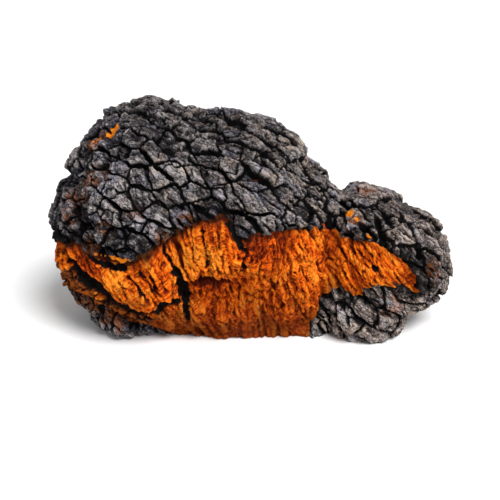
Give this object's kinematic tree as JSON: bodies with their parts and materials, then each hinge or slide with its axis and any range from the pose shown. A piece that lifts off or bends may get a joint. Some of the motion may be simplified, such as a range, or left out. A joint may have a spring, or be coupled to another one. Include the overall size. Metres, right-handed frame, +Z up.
{
  "type": "chaga mushroom",
  "caption": "Chaga conk: a lobed lump of corky orange flesh under a black, deeply cracked crust, broken open along one side and cut flat where it rests.",
  "frame": {"origin": "middle of the bounding box, on the flat cut that the conk rests on", "axes": "+X is the long way, from the big dome to the small lobe; -Y is the broken side where the flesh shows; +Z is up"},
  "size_m": [0.275, 0.1646, 0.156],
  "materials": {
    "crust": "dry, matt, charcoal-black cracked crust",
    "flesh": "dry, matt, corky, fibrous orange flesh"
  },
  "bodies": {
    "root": {"conk": "crust"}
  },
  "joints": []
}
